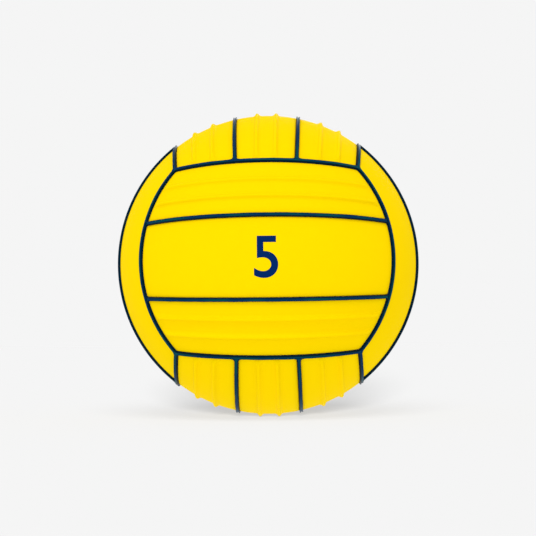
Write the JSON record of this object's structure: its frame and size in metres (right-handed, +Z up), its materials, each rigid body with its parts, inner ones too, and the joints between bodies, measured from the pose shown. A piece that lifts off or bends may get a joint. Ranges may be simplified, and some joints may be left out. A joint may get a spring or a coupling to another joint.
{
  "type": "water polo ball",
  "caption": "Inflated ball with a ribbed yellow rubber cover of panels parted by raised navy seam strips, over a wound carcass and a bladder with a needle valve, for water polo.",
  "frame": {"origin": "centre of the ball", "axes": "+Z up through the middle of the top face's ribs, -Y out of the front face with its plain middle panel, +Y out of the valve, +X to the right seen from the front"},
  "size_m": [0.2212, 0.2211, 0.2248],
  "materials": {
    "panel_rubber": "matte",
    "seam_rubber": "satin",
    "carcass_rubber": "matte",
    "winding_nylon": "matte",
    "bladder_rubber": "satin",
    "valve_rubber": "matte",
    "valve_core_rubber": "satin"
  },
  "bodies": {
    "root": {"bladder": "bladder_rubber", "carcass": "carcass_rubber", "divider_back_lower": "seam_rubber", "divider_back_upper": "seam_rubber", "divider_bottom_left": "seam_rubber", "divider_bottom_right": "seam_rubber", "divider_front_lower": "seam_rubber", "divider_front_upper": "seam_rubber", "divider_left_back": "seam_rubber", "divider_left_front": "seam_rubber", "divider_right_back": "seam_rubber", "divider_right_front": "seam_rubber", "divider_top_left": "seam_rubber", "divider_top_right": "seam_rubber", "panel_back_lower": "panel_rubber", "panel_back_middle": "panel_rubber", "panel_back_upper": "panel_rubber", "panel_bottom_left": "panel_rubber", "panel_bottom_middle": "panel_rubber", "panel_bottom_right": "panel_rubber", "panel_front_lower": "panel_rubber", "panel_front_middle": "panel_rubber", "panel_front_upper": "panel_rubber", "panel_left_back": "panel_rubber", "panel_left_front": "panel_rubber", "panel_left_middle": "panel_rubber", "panel_right_back": "panel_rubber", "panel_right_front": "panel_rubber", "panel_right_middle": "panel_rubber", "panel_top_left": "panel_rubber", "panel_top_middle": "panel_rubber", "panel_top_right": "panel_rubber", "seam_back_lower": "seam_rubber", "seam_back_upper": "seam_rubber", "seam_bottom_left": "seam_rubber", "seam_bottom_right": "seam_rubber", "seam_front_lower": "seam_rubber", "seam_front_upper": "seam_rubber", "seam_left_back": "seam_rubber", "seam_left_front": "seam_rubber", "seam_right_back": "seam_rubber", "seam_right_front": "seam_rubber", "seam_top_left": "seam_rubber", "seam_top_right": "seam_rubber", "thread_winding": "winding_nylon", "valve_core": "valve_core_rubber", "valve_housing": "valve_rubber"}
  },
  "joints": []
}
